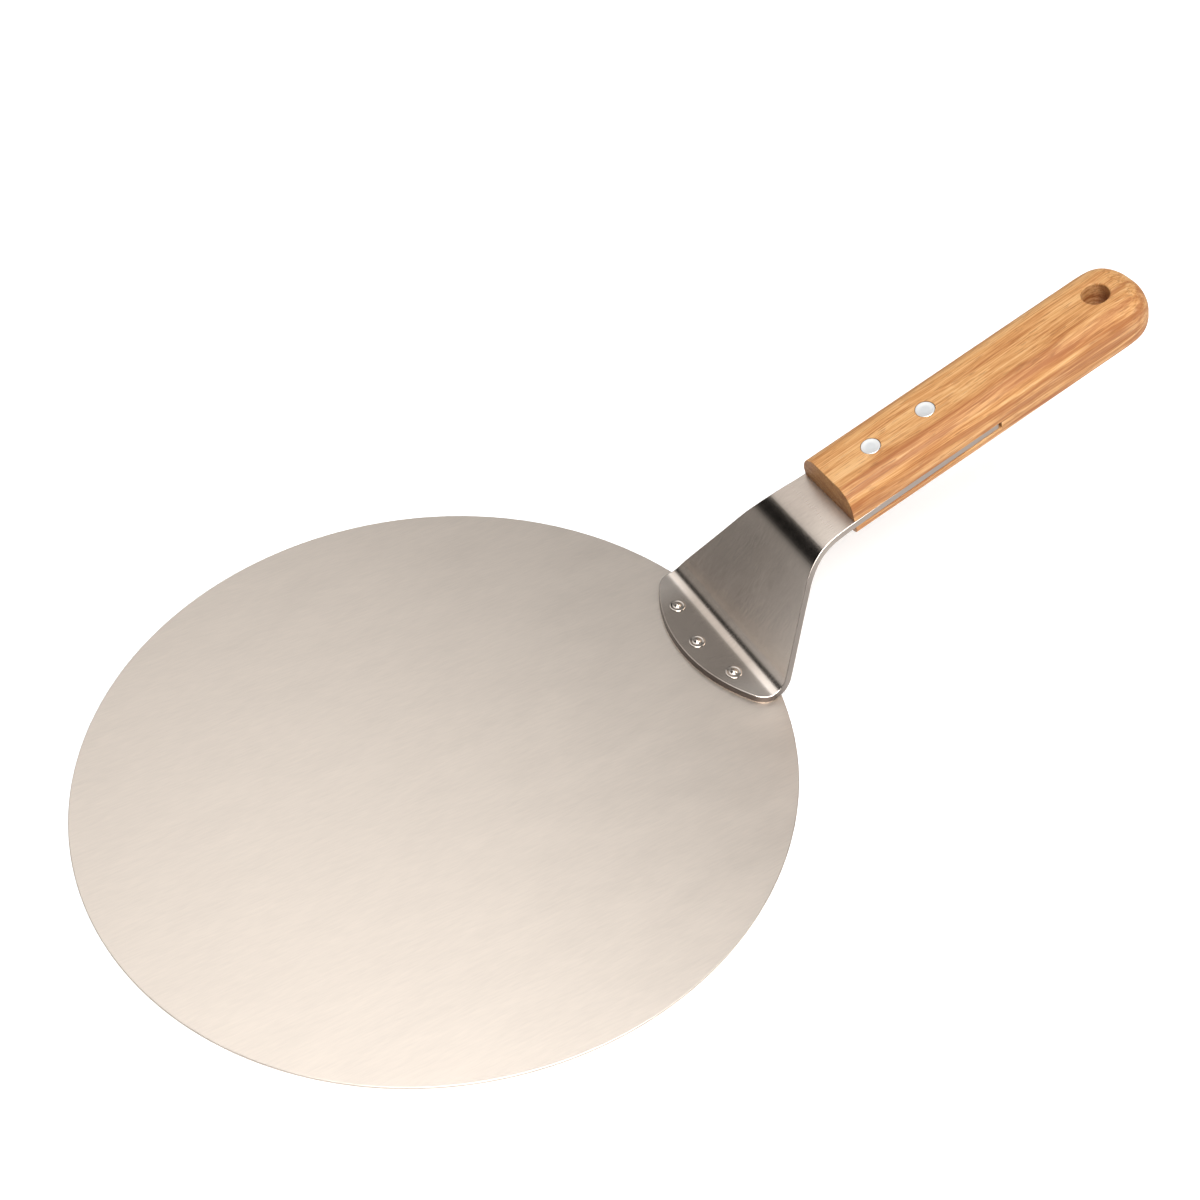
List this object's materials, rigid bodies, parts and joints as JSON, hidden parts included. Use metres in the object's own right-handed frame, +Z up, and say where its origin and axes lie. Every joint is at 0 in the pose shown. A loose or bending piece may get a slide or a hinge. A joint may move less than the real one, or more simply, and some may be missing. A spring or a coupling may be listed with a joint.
{
  "type": "pizza peel",
  "caption": "Pizza peel for lifting and turning a pizza: flat round stainless plate, bent stainless neck riveted to its edge, and a wooden handle with a hanging hole.",
  "frame": {"origin": "centre of the round plate, on its flat underside", "axes": "+X from the plate's centre along the handle, +Z up from the plate's underside, +Y across the handle"},
  "size_m": [0.4236, 0.254, 0.1056],
  "materials": {
    "blade_steel": "fine straight brushed grain",
    "neck_steel": "satin, rolled sheet with rounded edges",
    "rivet_steel": "bright, pressed",
    "handle_wood": "sanded and oiled, grain along the handle",
    "handle_rivet_tube_aluminium": "ground flush and satin",
    "handle_rivet_pin_aluminium": "ground flush and satin"
  },
  "bodies": {
    "root": {"blade_disc": "blade_steel", "neck_bracket": "neck_steel", "blade_rivet_left": "rivet_steel", "blade_rivet_centre": "rivet_steel", "blade_rivet_right": "rivet_steel", "handle": "handle_wood", "handle_rivet_front_tube": "handle_rivet_tube_aluminium", "handle_rivet_front_pin": "handle_rivet_pin_aluminium", "handle_rivet_rear_tube": "handle_rivet_tube_aluminium", "handle_rivet_rear_pin": "handle_rivet_pin_aluminium"}
  },
  "joints": []
}
